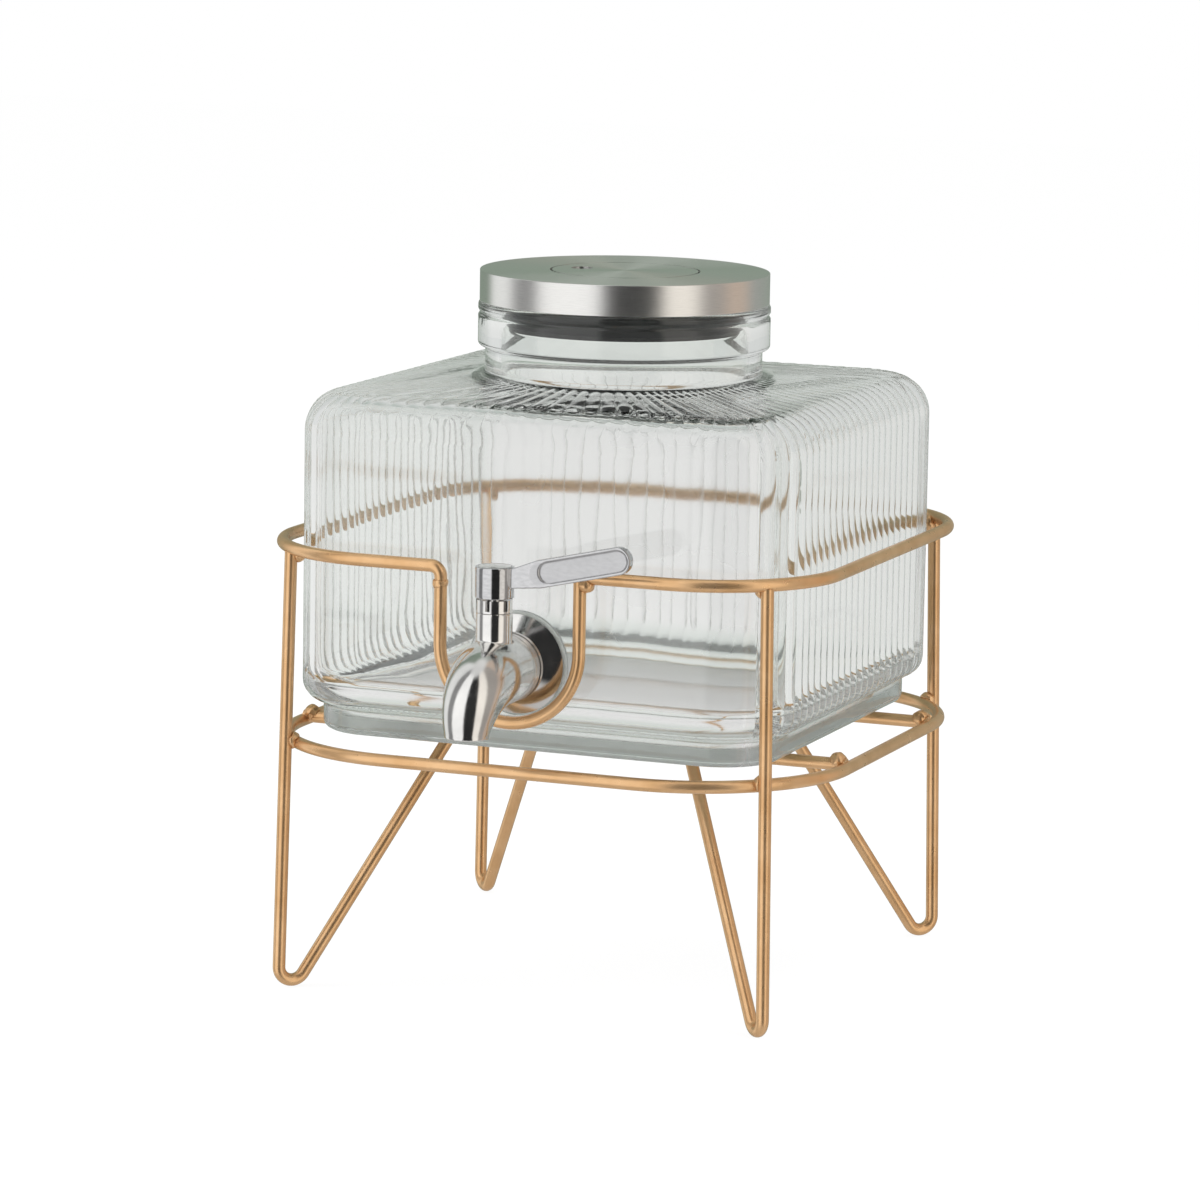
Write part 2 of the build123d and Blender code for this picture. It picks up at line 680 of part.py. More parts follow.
# Lever: round hub and upright blade, cast in one, standing across the tap when it is closed
blade_turn = math.radians(blade_lean)
blade_plane = Plane(
    origin=(0, stem_y, hub_middle),
    x_dir=(math.cos(blade_turn), 0, math.sin(blade_turn)),
    z_dir=(0, -1, 0),
)
blade_length = blade_reach - blade_root_end
panel_half_width = blade_half_width - blade_rim
panel_start = blade_root_end + panel_half_width
panel_length = blade_reach - panel_start
with BuildPart() as lever:
    with BuildSketch(at_stem(hub_bottom)):
        Circle(hub_radius)
    extrude(amount=hub_height)
    fillet(lever.edges().group_by(Axis.Z)[-1], edge_round)
    with BuildSketch(blade_plane):
        with BuildLine():
            Polyline(
                (0, -blade_root_half_width),
                (blade_root_end, -blade_half_width),
                (blade_root_end, blade_half_width),
                (0, blade_root_half_width),
                close=True,
            )
        make_face()
        with Locations((blade_root_end + blade_length / 2, 0)):
            SlotCenterToCenter(blade_length, 2 * blade_half_width)
    extrude(amount=blade_thickness / 2, both=True)
    for face in (1, -1):
        with BuildSketch(blade_plane.offset(face * blade_thickness / 2)):
            with Locations((panel_start + panel_length / 2, 0)):
                SlotCenterToCenter(panel_length, 2 * panel_half_width)
        extrude(amount=-face * blade_panel_depth, mode=Mode.SUBTRACT)
    with BuildSketch(at_stem(hub_bottom)):
        Rectangle(tang_side, tang_side)
    extrude(amount=tang_top - hub_bottom, mode=Mode.SUBTRACT)
    with BuildSketch(at_stem(tang_top)):
        Circle(hub_cap_radius)
    extrude(amount=hub_top - tang_top, mode=Mode.SUBTRACT)
finish_piece(lever, "lever")

# Lever screw: holds the hub on the tang
with BuildPart() as lever_screw:
    with BuildSketch(at_stem(tang_top - hub_screw_length)):
        Circle(hub_screw_radius)
    extrude(amount=hub_screw_length)
    with BuildSketch(at_stem(tang_top)):
        Circle(hub_screw_head_radius)
    extrude(amount=hub_screw_head_height)
    with BuildSketch(at_stem(tang_top + hub_screw_head_height)):
        RegularPolygon(hub_screw_radius, side_count=6)
    extrude(amount=-hub_screw_head_height / 2, mode=Mode.SUBTRACT)
finish_piece(lever_screw, "lever_screw")

# Hub cap: low domed disc over the screw
with BuildPart() as hub_cap:
    with BuildSketch(at_stem(hub_top - hub_cap_height)):
        Circle(hub_cap_radius)
    extrude(amount=hub_cap_height)
    with BuildSketch(Plane.YZ):
        with BuildLine():
            dome = ThreePointArc(
                (stem_y - hub_cap_radius, hub_top),
                (stem_y, hub_top + hub_cap_dome),
                (stem_y + hub_cap_radius, hub_top),
            )
            Line(dome @ 1, dome @ 0)
        make_face()
        with Locations((stem_y - hub_cap_radius / 2, hub_top)):
            Rectangle(hub_cap_radius, 2 * hub_cap_height, mode=Mode.SUBTRACT)
    revolve(axis=stem_axis)
finish_piece(hub_cap, "hub_cap")


def ring_profile(points):
    """Closed profile in the XZ plane; points are radius and height."""
    Polyline(*points, close=True)


# Lid cap: spun steel sheet with a straight band and a round opening for the handle's cup
band_inside = lid_radius - lid_sheet
with BuildPart() as lid_cap:
    with BuildSketch(Plane.XZ):
        with BuildLine():
            ring_profile([
                (band_inside, lid_bottom),
                (lid_radius, lid_bottom),
                (lid_radius, lid_top),
                (handle_recess_radius, lid_top),
                (handle_recess_radius, lid_top - lid_sheet),
                (band_inside, lid_top - lid_sheet),
            ])
        make_face()
    revolve(axis=Axis.Z)
    fillet(lid_cap.edges().filter_by(GeomType.CIRCLE).group_by(Axis.Z)[-1].sort_by(SortBy.RADIUS)[-1], lid_sheet / 2)
finish_piece(lid_cap, "lid_cap")

# Handle cup: drawn steel cup under the opening, with a shelf that stops the handle flush
cup_outside = handle_recess_radius + lid_sheet
cup_floor = lip_top - seal_depth + plug_floor + lid_sheet
cup_top = lid_top - lid_sheet
pin_half_length = math.sqrt(cup_outside ** 2 - (handle_pivot_offset + handle_pin_radius) ** 2)
stop_top = lid_top - handle_thickness
inner_stop_radius = handle_recess_radius - handle_stop_depth
with BuildPart() as handle_cup:
    with BuildSketch(Plane.XZ):
        with BuildLine():
            ring_profile([
                (0, cup_floor),
                (handle_recess_radius, cup_floor),
                (handle_recess_radius, cup_top),
                (cup_outside + cup_flange, cup_top),
                (cup_outside + cup_flange, cup_top - lid_sheet),
                (cup_outside, cup_top - lid_sheet),
                (cup_outside, cup_floor - lid_sheet),
                (0, cup_floor - lid_sheet),
            ])
        make_face()
    revolve(axis=Axis.Z)
    with BuildSketch(Plane.XY.offset(stop_top)):
        with BuildLine():
            outer_stop = CenterArc(
                (0, 0), handle_recess_radius, -handle_stop_half_angle, 2 * handle_stop_half_angle
            )
            inner_stop = CenterArc(
                (0, 0), inner_stop_radius, -handle_stop_half_angle, 2 * handle_stop_half_angle
            )
            Line(outer_stop @ 0, inner_stop @ 0)
            Line(outer_stop @ 1, inner_stop @ 1)
        make_face()
    extrude(amount=-handle_stop_thickness)
    with BuildSketch(Plane.XZ):
        with Locations((pivot_x, pivot_z)):
            Circle(handle_pin_radius)
    extrude(amount=cup_outside, both=True, mode=Mode.SUBTRACT)
finish_piece(handle_cup, "handle_cup")

# Handle pin: cross pin held in the cup's wall
with BuildPart() as handle_pin:
    with BuildSketch(Plane.XZ):
        with Locations((pivot_x, pivot_z)):
            Circle(handle_pin_radius)
    extrude(amount=pin_half_length, both=True)
finish_piece(handle_pin, "handle_pin")

# Handle: flush disc that tips on the pin when it is pressed beside the hole
with BuildPart() as lid_handle:
    with BuildSketch(Plane.XY.offset(lid_top)):
        Circle(handle_radius)
        with Locations((-press_hole_offset, 0)):
            Circle(press_hole_radius, mode=Mode.SUBTRACT)
    extrude(amount=-handle_thickness)
    for place in (-handle_lug_spacing / 2, handle_lug_spacing / 2):
        with BuildSketch(Plane.XZ.offset(place)):
            with Locations((pivot_x, pivot_z)):
                Circle(handle_lug_radius)
            with Locations((pivot_x, (pivot_z + stop_top) / 2)):
                Rectangle(2 * handle_lug_radius, stop_top - pivot_z)
        extrude(amount=handle_lug_width / 2, both=True)
    with BuildSketch(Plane.XY.offset(lid_top)):
        Circle(handle_radius + cut_overrun)
    extrude(amount=handle_lug_radius, mode=Mode.SUBTRACT)
    with BuildSketch(Plane.XZ):
        with Locations((pivot_x, pivot_z)):
            Circle(handle_pin_radius + running_clearance)
    extrude(amount=handle_radius, both=True, mode=Mode.SUBTRACT)
finish_piece(lid_handle, "lid_handle")

# Lid plug: hollow moulding that centres the lid in the mouth and carries the seal and the cup
plug_radius = mouth_radius - loose_clearance - seal_skirt
plug_bottom = lip_top - seal_depth
plug_inside = cup_outside + running_clearance
with BuildPart() as lid_plug:
    with BuildSketch(Plane.XZ):
        with BuildLine():
            ring_profile([
                (0, plug_bottom),
                (plug_radius, plug_bottom),
                (plug_radius, seal_top),
                (band_inside, seal_top),
                (band_inside, seal_top + plug_flange_thickness),
                (plug_radius, seal_top + plug_flange_thickness),
                (plug_radius, cup_top),
                (plug_radius - plug_wall, cup_top),
                (plug_radius - plug_wall, plug_bottom + plug_wall),
                (plug_inside + plug_wall, plug_bottom + plug_wall),
                (plug_inside + plug_wall, cup_top - lid_sheet - running_clearance),
                (plug_inside, cup_top - lid_sheet - running_clearance),
                (plug_inside, cup_floor - lid_sheet),
                (0, cup_floor - lid_sheet),
            ])
        make_face()
    revolve(axis=Axis.Z)
finish_piece(lid_plug, "lid_plug")

# Lid seal: black silicone ring, a flange on the lip and a ribbed skirt in the mouth
seal_radius = plug_radius + seal_skirt
with BuildPart() as lid_seal:
    with BuildSketch(Plane.XZ):
        with BuildLine():
            ring_profile([
                (plug_radius, plug_bottom),
                (seal_radius - seal_skirt / 2, plug_bottom),
                (seal_radius, plug_bottom + seal_rib_height),
                (seal_radius - seal_skirt / 2, plug_bottom + 2 * seal_rib_height),
                (seal_radius, plug_bottom + 3 * seal_rib_height),
                (seal_radius - seal_skirt / 2, plug_bottom + 4 * seal_rib_height),
                (seal_radius - seal_skirt / 2, lip_top),
                (band_inside - seal_inset, lip_top),
                (band_inside - seal_inset, seal_top),
                (plug_radius, seal_top),
            ])
        make_face()
    revolve(axis=Axis.Z)
finish_piece(lid_seal, "lid_seal")
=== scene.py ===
"""Looks of the square reeded glass drink dispenser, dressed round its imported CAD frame.

Metres, +Z up. The tap points to -Y, and +X is to the right seen from the tap side.
"""

import json
import math

import bmesh
import bpy
import numpy as np
from mathutils import Matrix, Vector, noise


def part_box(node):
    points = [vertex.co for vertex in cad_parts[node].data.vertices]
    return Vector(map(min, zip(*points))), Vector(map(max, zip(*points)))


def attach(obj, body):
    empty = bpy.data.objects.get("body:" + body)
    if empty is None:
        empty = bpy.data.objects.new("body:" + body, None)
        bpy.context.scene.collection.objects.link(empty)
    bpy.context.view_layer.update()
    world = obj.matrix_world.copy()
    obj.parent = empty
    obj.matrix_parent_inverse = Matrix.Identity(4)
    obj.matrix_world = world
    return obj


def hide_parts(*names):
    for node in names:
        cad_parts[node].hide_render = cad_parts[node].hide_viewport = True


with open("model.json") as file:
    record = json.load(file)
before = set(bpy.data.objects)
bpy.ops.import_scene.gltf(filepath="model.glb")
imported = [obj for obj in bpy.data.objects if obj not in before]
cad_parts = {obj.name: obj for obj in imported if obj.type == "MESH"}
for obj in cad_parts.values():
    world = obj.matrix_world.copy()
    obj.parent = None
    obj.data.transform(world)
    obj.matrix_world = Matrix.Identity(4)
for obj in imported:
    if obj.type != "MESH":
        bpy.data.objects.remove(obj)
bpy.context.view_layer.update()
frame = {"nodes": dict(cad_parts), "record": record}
scene = bpy.context.scene

MM = 0.001

# Reeds of the jar
REED_COUNT_SIDES = 82           # round the sides and back, as in the solid
REED_COUNT_FRONT = 27           # over the front of the shoulder only
REED_COLUMNS = 8                # mesh columns of one reed
COLUMN_CROWDING = 0.8           # under 1 it crowds a reed's columns towards its edges
REED_DEPTH = 1.0 * MM
REED_SHARPNESS = 2.1            # power of the reed's profile, which meets the next in a sharp valley
REAR_DEPTH_SHARE = 0.95         # of that depth, at the back
REAR_SECTORS = (2, 3, 4)        # rear right corner, back, rear left corner
CROWN_REED_SHARE = 0.45         # of that depth, at the crown's edge
CROWN_REED_LOSS = 0.6           # share of it lost by the neck, where the reeds are narrow
CROWN_REED_END = 0.12           # share of the crown in which the reeds run out at the neck

# Jar; its overall size comes from the frame
CORNER_SIGNS = ((1, -1), (1, 1), (-1, 1), (-1, -1))
JAR_CORNER = 34 * MM
FOOT_HALF = 95 * MM
FOOT_CORNER = 25 * MM
FOOT_HEIGHT = 11 * MM
FOOT_ROUND = 3.5 * MM
HEEL_FILLET = 1.6 * MM
SHOULDER = 16 * MM
CROWN_RISE = 3.5 * MM
CROWN_RISE_USED = 0.9           # of the rise by the edge of the neck's fillet
INNER_CROWN_POWER = 1.35        # over 1 makes the glass thicker half way to the neck
NECK_RADIUS = 55 * MM
NECK_FILLET = 2.6 * MM
NECK_HEIGHT = 10.5 * MM
NECK_EASE = 1.1 * MM
RIM_RADIUS = 58 * MM
RIM_HEIGHT = 17.8 * MM
RIM_ROUND = 1.5 * MM
GROOVE_BELOW_TOP = 4.6 * MM
LIP_ROUND = 1.8 * MM
MOUTH_RADIUS = 49 * MM
INNER_NECK_ROUND = 4 * MM
JAR_WALL = 5 * MM
CROWN_WALL = 0.85 * JAR_WALL
WELL_HALF = 89 * MM
WELL_TOP = 6 * MM               # above the top of the foot
WELL_ROUND = 7 * MM
WELL_CORNER = FOOT_CORNER - 6 * MM
FLOOR_CORNER = FOOT_CORNER - 12 * MM
HEEL_TIGHTENING = 0.8           # loss of the corner's radius for each step inwards, in the inner heel
WELL_TIGHTENING = 0.9           # and in the well's round
JAR_FLOOR = 6.2 * MM
WASHER_CLEAR = 24 * MM          # round the tap's axis, where the glass is flat for its washer

# Share of the half width and height in mm, from the middle of the underside and of the floor outwards
UNDERSIDE_ARCH = ((0.02, 1.4), (0.3, 1.3), (0.6, 0.9), (0.85, 0.3))
FLOOR_CROWN = ((0.02, 1.0), (0.25, 0.9), (0.55, 0.5), (0.8, 0.1))
# Across and up in mm, from the middle of the rim's groove
GROOVE_PROFILE = ((0, -5.5), (0, -1.3), (-0.35, -0.7), (-0.8, -0.1), (-0.8, 0.1), (-0.35, 0.7), (0, 1.3))

# Mesh rings of the jar's long runs; the smooth ones are the first of the shoulder's at the front
SIDE_STEPS = 15
SHOULDER_STEPS = 10
SMOOTH_STEPS = 4
CROWN_STEPS = 13
BORE_STEPS = 6
INNER_CROWN_STEPS = 9
WELL_STEPS = 13
FOOT_RING = 0.62                # height of one more ring, as a share of the foot's
NECK_RING = 0.6                 # and of the neck's
LEAST_CORNER = 0.5 * MM

# Waves of the pressed glass: scale of their noise by axis, and heights inside and outside
STREAK_SCALE = (75, 75, 12)
SWELL_SCALE = (24, 24, 24)
SWELL_OFFSET = Vector((0, 0, 7))
INSIDE_STREAKS, INSIDE_SWELL = 0.10 * MM, 0.14 * MM
OUTSIDE_STREAKS, OUTSIDE_SWELL = 0.02 * MM, 0.05 * MM

# Zones of the glass, in the frame's coordinates, over which its look changes
FOOT_ZONE = (112 * MM, 122 * MM)            # height: foot, then sides
CROWN_ZONE = (215 * MM, 228 * MM)           # height: sides, then shoulder
CROWN_GREEN_ZONE = (228 * MM, 234 * MM)
NECK_ZONE = (238 * MM, 246 * MM)            # height: crown, then neck
FRONT_ZONE = (-96 * MM, -80 * MM)           # y: front, then sides
REAR_ZONE = (60 * MM, 80 * MM)              # y: sides, then back
FOOT_FACE_ZONE = (88 * MM, 92 * MM)         # distance from the middle: floor, then the foot's faces
SIDE_FACE_ZONE = (92 * MM, 97 * MM)         # x without its sign: well, then the side walls

# Tap lever
HUB_RADIUS = 7.5 * MM
HUB_HEIGHT = 12.1 * MM
BLADE_LEAN = math.radians(13)
BLADE_ROOT = 19.5 * MM          # from the hub's axis to the near end of the blade's panel
BLADE_REACH = 51.5 * MM         # and to its far end
BLADE_PANEL = 4.2 * MM          # half the panel's height
BLADE_START = (HUB_RADIUS + 0.3 * MM, HUB_RADIUS + 1.2 * MM)
PANEL_EDGE = 0.15 * MM

# Copies of frame nodes with blended edges: voxel size and rounds of smoothing
TAP_BODY_VOXEL = 0.4 * MM
TAP_BODY_SMOOTHING = 8
LEVER_VOXEL = 0.3 * MM
LEVER_SMOOTHING = 5
WELD_VOXEL = 0.45 * MM
WELD_SMOOTHING = 2
WELD_SWELL = 0.12 * MM
WELD_LUMPS = ((420, 0.45 * MM), (1100, 0.15 * MM))    # scale and height of the unevenness

# Camera, fitted to the photograph; pixels are those of the 1200 by 1200 frame
CAMERA_AZIMUTH = 21.5
CAMERA_ELEVATION = 9.37
CAMERA_ROLL = 1.0
CAMERA_DISTANCE = 2.247
CAMERA_TARGET_HEIGHT = 0.14595
FOCAL_PIXELS = 5618.5
OFFSET_PIXELS = (19.43, 3.56)
FRAME_PIXELS = 1200
SENSOR = 36.0

# The studio as metal and glass see it: degrees to the right of the camera's side, and colour
METAL_STUDIO = (
    (-180, (0.27, 0.33, 0.27)),
    (-138, (0.24, 0.29, 0.24)),
    (-128, (0.95, 0.96, 0.95)),
    (-106, (0.95, 0.96, 0.95)),
    (-97, (0.30, 0.30, 0.30)),
    (-78, (0.30, 0.30, 0.30)),
    (-70, (1.2, 1.2, 1.19)),
    (-22, (1.2, 1.2, 1.19)),
    (-15, (0.03, 0.03, 0.03)),
    (27, (0.03, 0.03, 0.03)),
    (33, (1.15, 1.09, 1.0)),
    (58, (1.15, 1.09, 1.0)),
    (66, (0.42, 0.39, 0.36)),
    (86, (0.42, 0.39, 0.36)),
    (92, (0.62, 0.50, 0.41)),
    (110, (0.62, 0.50, 0.41)),
    (122, (0.40, 0.41, 0.39)),
    (180, (0.27, 0.33, 0.27)),
)
GLASS_STUDIO = (
    (-180, (0.745, 0.74, 0.745)),
    (-105, (0.71, 0.715, 0.72)),
    (-65, (0.60, 0.61, 0.61)),
    (-35, (0.40, 0.42, 0.41)),
    (35, (0.40, 0.42, 0.41)),
    (65, (0.60, 0.61, 0.61)),
    (105, (0.71, 0.715, 0.72)),
    (180, (0.745, 0.74, 0.745)),
)
WHITE = (1, 1, 1, 1)
SOFT_LIGHT = (0.80, 0.80, 0.80, 1)          # what lights matt surfaces
METAL_TOP = (0.85, 0.85, 0.84, 1)
METAL_BOTTOM = (0.62, 0.61, 0.60, 1)
GLASS_TOP = (0.48, 0.52, 0.50, 1)
# Heights on the unit sphere, or depths for the bottom, between which those take over from the walls
METAL_TOP_STEP = (0.93, 0.99)
METAL_BOTTOM_STEP = (0.45, 0.70)
GLASS_TOP_STEP = (0.45, 0.85)

# Floor
FLOOR_HALF = 4.0
FLOOR_PAINT = (0.86, 0.86, 0.86, 1)
FLOOR_SEEN = (1.04, 1.04, 1.04, 1)          # over 1, which makes up for the darker share of paint
FLOOR_IN_GLASS = (0.80, 0.79, 0.79, 1)
FLOOR_GLOW = 0.88                           # share of glow in what the camera and glass see

# Lamps: name, place, size, watts
LAMPS = (
    ("left_softbox", (-1.1, -0.7, 0.7), (0.7, 1.1), 14),
    ("right_softbox", (1.3, -0.2, 0.6), (0.6, 1.0), 10),
    ("top_softbox", (0.0, 0.3, 1.5), (1.2, 0.9), 12),
)
LAMP_TARGET = (0, 0, 0.15)

SLOTS = {part["node"]: part["material_slot"] for part in frame["record"]["subparts"]}


def linear(red, green, blue):
    """Scene colour of an sRGB colour given in 0 to 255."""
    def one(value):
        value /= 255
        return value / 12.92 if value <= 0.04045 else ((value + 0.055) / 1.055) ** 2.4
    return (one(red), one(green), one(blue), 1.0)


# Materials

MIX_FIRST, MIX_SECOND = 6, 7    # a Mix node's two colour inputs
MIX_COLOUR = 2                  # and its colour output


class Nodes:
    """Short ways to add nodes to a node tree."""

    def __init__(self, tree):
        self.tree = tree

    def node(self, kind, **settings):
        """A new node, with some of its inputs or properties set."""
        made = self.tree.nodes.new(kind)
        for key, value in settings.items():
            if key in made.inputs:
                made.inputs[key].default_value = value
            else:
                setattr(made, key, value)
        return made

    def put(self, value, socket):
        """Link an output to a socket, or set the socket's own value."""
        if hasattr(value, "is_output"):
            self.tree.links.new(value, socket)
        else:
            socket.default_value = value

    def calculate(self, operation, *values):
        """Result of a math node on outputs or numbers."""
        made = self.node("ShaderNodeMath", operation=operation)
        for socket, value in zip(made.inputs, values):
            self.put(value, socket)
        return made.outputs[0]

    def multiply(self, first, second):
        return self.calculate("MULTIPLY", first, second)

    def largest(self, first, second):
        return self.calculate("MAXIMUM", first, second)

    def mix(self, share, first, second):
        """Colour between two by a share from 0 to 1."""
        made = self.node("ShaderNodeMix", data_type="RGBA")
        for index, value in ((0, share), (MIX_FIRST, first), (MIX_SECOND, second)):
            self.put(value, made.inputs[index])
        return made.outputs[MIX_COLOUR]

    def spread(self, value, low, high, start=0.3, end=0.7):
        """Number that goes from low to high as the value goes from start to end."""
        made = self.node("ShaderNodeMapRange")
        for key, number in (("From Min", start), ("From Max", end), ("To Min", low), ("To Max", high)):
            made.inputs[key].default_value = number
        self.put(value, made.inputs["Value"])
        return made.outputs["Result"]

    def step(self, value, start, end):
        """Soft step from 0 to 1."""
        made = self.node("ShaderNodeMapRange", interpolation_type="SMOOTHSTEP")
        made.inputs["From Min"].default_value = start
        made.inputs["From Max"].default_value = end
        self.put(value, made.inputs["Value"])
        return made.outputs["Result"]

    def split(self, vector):
        """A vector's X, Y and Z."""
        made = self.node("ShaderNodeSeparateXYZ")
        self.put(vector, made.inputs[0])
        return made.outputs

    def ramp(self, value, stops):
        """Colour by degrees from -180 to 180, with value from 0 to 1."""
        made = self.node("ShaderNodeValToRGB")
        elements = made.color_ramp.elements
        for degrees, colour in stops[1:-1]:
            elements.new(0.5 + degrees / 360).color = colour + (1,)
        elements[0].color = stops[0][1] + (1,)
        elements[-1].color = stops[-1][1] + (1,)
        self.put(value, made.inputs[0])
        return made.outputs[0]


class Shader(Nodes):
    """A material with a principled shader."""

    def __init__(self, name, **values):
        self.material = bpy.data.materials.new(name)
        self.material.use_nodes = True
        super().__init__(self.material.node_tree)
        self.principled = self.tree.nodes["Principled BSDF"]
        for key, value in values.items():
            self.principled.inputs[key.replace("_", " ")].default_value = value

    def position(self, scale=(1, 1, 1)):
        """Object coordinates in metres, scaled by axis."""
        coords = self.node("ShaderNodeTexCoord")
        mapping = self.node("ShaderNodeMapping")
        mapping.inputs["Scale"].default_value = scale
        self.put(coords.outputs["Object"], mapping.inputs["Vector"])
        return mapping.outputs["Vector"]

    def noise(self, vector, scale, detail=2.0, roughness=0.5):
        made = self.node("ShaderNodeTexNoise", Scale=scale, Detail=detail, Roughness=roughness)
        self.put(vector, made.inputs["Vector"])
        return made.outputs["Fac"]

    def tint(self, share, first, second):
        """Base colour between two by a share from 0 to 1."""
        self.put(self.mix(share, first, second), self.principled.inputs["Base Color"])

    def rough(self, value):
        self.put(value, self.principled.inputs["Roughness"])

    def bump(self, height, distance, strength):
        made = self.node("ShaderNodeBump", Strength=strength, Distance=distance)
        self.put(height, made.inputs["Height"])
        self.put(made.outputs["Normal"], self.principled.inputs["Normal"])


def gold_wire():
    """Satin gold paint on steel wire."""
    s = Shader("gold_wire", Metallic=0.85, Specular_IOR_Level=0.5)
    where = s.position()
    patches = s.spread(s.noise(where, 60, 3), 0, 1)
    s.tint(patches, linear(214, 169, 120), linear(232, 191, 145))
    s.rough(s.spread(s.noise(where, 300, 3), 0.27, 0.34))
    s.bump(s.noise(where, 1100, 3), distance=0.02 * MM, strength=0.4)
    return s.material


def clear_glass():
    """Pressed soda glass, greener in the foot and shoulder, with waves, streaks and a soft back and floor."""
    s = Shader("clear_glass", Transmission_Weight=1.0, IOR=1.5, Specular_IOR_Level=0.5)
    x, y, z = s.split(s.position())
    across = s.calculate("ABSOLUTE", x)
    furthest = s.largest(across, s.calculate("ABSOLUTE", y))
    base = s.spread(z, 1.0, 0.0, *FOOT_ZONE)
    below_crown = s.spread(z, 1.0, 0.0, *CROWN_ZONE)

    rear_blur = s.multiply(s.spread(y, 0.0, 0.26, *REAR_ZONE), below_crown)
    floor_blur = s.multiply(base, s.spread(furthest, 0.28, 0.0, *FOOT_FACE_ZONE))
    patches = s.spread(s.noise(s.position(), 35, 2), 0.0, 0.02)
    s.rough(s.calculate("ADD", s.largest(rear_blur, floor_blur), patches))

    foot_green = s.multiply(base, s.spread(furthest, 0.0, 1.0, *FOOT_FACE_ZONE))
    crown_green = s.spread(z, 0.0, 0.27, *CROWN_GREEN_ZONE)
    side_green = s.spread(across, 0.0, 0.30, *SIDE_FACE_ZONE)
    green = s.largest(foot_green, s.largest(crown_green, side_green))
    s.tint(green, linear(253, 254, 253), linear(226, 236, 229))

    slow = s.noise(s.position((1, 1, 0.3)), 55, 2)
    fine = s.noise(s.position((1, 1, 0.6)), 230, 2)
    streaks = s.noise(s.position((0.3, 0.3, 2.0)), 150, 3)
    side = s.multiply(s.spread(y, 0.03, 0.09, *FRONT_ZONE), below_crown)
    neck = s.spread(z, 0.0, 0.08, *NECK_ZONE)
    waves = s.calculate("MULTIPLY_ADD", fine, s.largest(side, neck), slow)
    waves = s.calculate("MULTIPLY_ADD", streaks, s.multiply(base, 0.22), waves)
    s.bump(waves, distance=0.5 * MM, strength=0.30)
    return s.material


def polished_steel():
    """Polished stainless steel."""
    s = Shader("polished_steel", Metallic=1.0)
    where = s.position()
    s.tint(s.spread(s.noise(where, 90, 3), 0, 1), linear(214, 213, 212), linear(230, 229, 227))
    s.rough(s.spread(s.noise(where, 240, 4), 0.09, 0.17))
    s.bump(s.noise(where, 260, 2), distance=0.04 * MM, strength=0.3)
    return s.material


def lever_steel():
    """Polished hub and rim, with satin faces on the blade."""
    s = Shader("lever_steel", Metallic=1.0)
    hub_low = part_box("lever")[0]
    cap_low, cap_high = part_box("hub_cap")
    coords = s.node("ShaderNodeTexCoord")
    # from the middle of the hub, with X along the blade
    local = s.node("ShaderNodeMapping", vector_type="TEXTURE")
    local.inputs["Location"].default_value = (
        (cap_low.x + cap_high.x) / 2, (cap_low.y + cap_high.y) / 2, hub_low.z + HUB_HEIGHT / 2
    )
    local.inputs["Rotation"].default_value = (0, -BLADE_LEAN, 0)
    s.put(coords.outputs["Object"], local.inputs["Vector"])
    x, _, z = s.split(local.outputs["Vector"])
    nearest = s.calculate("MINIMUM", s.largest(x, BLADE_ROOT), BLADE_REACH)
    along = s.calculate("SUBTRACT", x, nearest)
    reach = s.calculate("SQRT", s.calculate("ADD", s.multiply(along, along), s.multiply(z, z)))
    panel = s.spread(reach, 1, 0, BLADE_PANEL - PANEL_EDGE, BLADE_PANEL + PANEL_EDGE)
    off_hub = s.spread(x, 0, 1, *BLADE_START)
    satin = s.multiply(panel, off_hub)
    grain = s.noise(s.position((0.4, 1, 1)), 900, 3)
    s.tint(s.spread(grain, 0, 1), linear(186, 186, 188), linear(200, 200, 202))
    s.rough(s.calculate("MULTIPLY_ADD", satin, 0.27, s.spread(grain, 0.06, 0.12)))
    s.bump(s.multiply(grain, satin), distance=0.02 * MM, strength=0.3)
    return s.material


def plain_steel():
    """Fine dull steel of the hidden screw and pin."""
    s = Shader("plain_steel", Metallic=1.0)
    where = s.position()
    s.tint(s.spread(s.noise(where, 200, 3), 0, 1), linear(186, 186, 187), linear(212, 212, 213))
    s.rough(s.spread(s.noise(where, 700, 4), 0.30, 0.42))
    s.bump(s.noise(where, 3200, 4), distance=0.08 * MM, strength=0.6)
    return s.material


def brushed_steel():
    """Steel of the lid, brushed round and round."""
    s = Shader("brushed_steel", Metallic=1.0, Anisotropic=0.86, Anisotropic_Rotation=0.25)
    x, y, z = s.split(s.position())
    flat = s.node("ShaderNodeCombineXYZ")
    s.put(x, flat.inputs["X"])
    s.put(y, flat.inputs["Y"])
    radius = s.node("ShaderNodeVectorMath", operation="LENGTH")
    s.put(flat.outputs[0], radius.inputs[0])
    # long streaks: the noise hardly changes with the angle
    rings = s.node("ShaderNodeCombineXYZ")
    s.put(radius.outputs["Value"], rings.inputs["X"])
    s.put(z, rings.inputs["Y"])
    s.put(s.multiply(s.calculate("ARCTAN2", y, x), 0.002), rings.inputs["Z"])
    streaks = s.noise(rings.outputs[0], 5200, 4, 0.65)
    s.tint(s.spread(streaks, 0, 1), linear(222, 221, 219), linear(238, 237, 235))
    s.rough(s.spread(streaks, 0.29, 0.37))
    s.bump(streaks, distance=0.05 * MM, strength=0.5)
    tangent = s.node("ShaderNodeTangent", direction_type="RADIAL", axis="Z")
    s.put(tangent.outputs[0], s.principled.inputs["Tangent"])
    return s.material


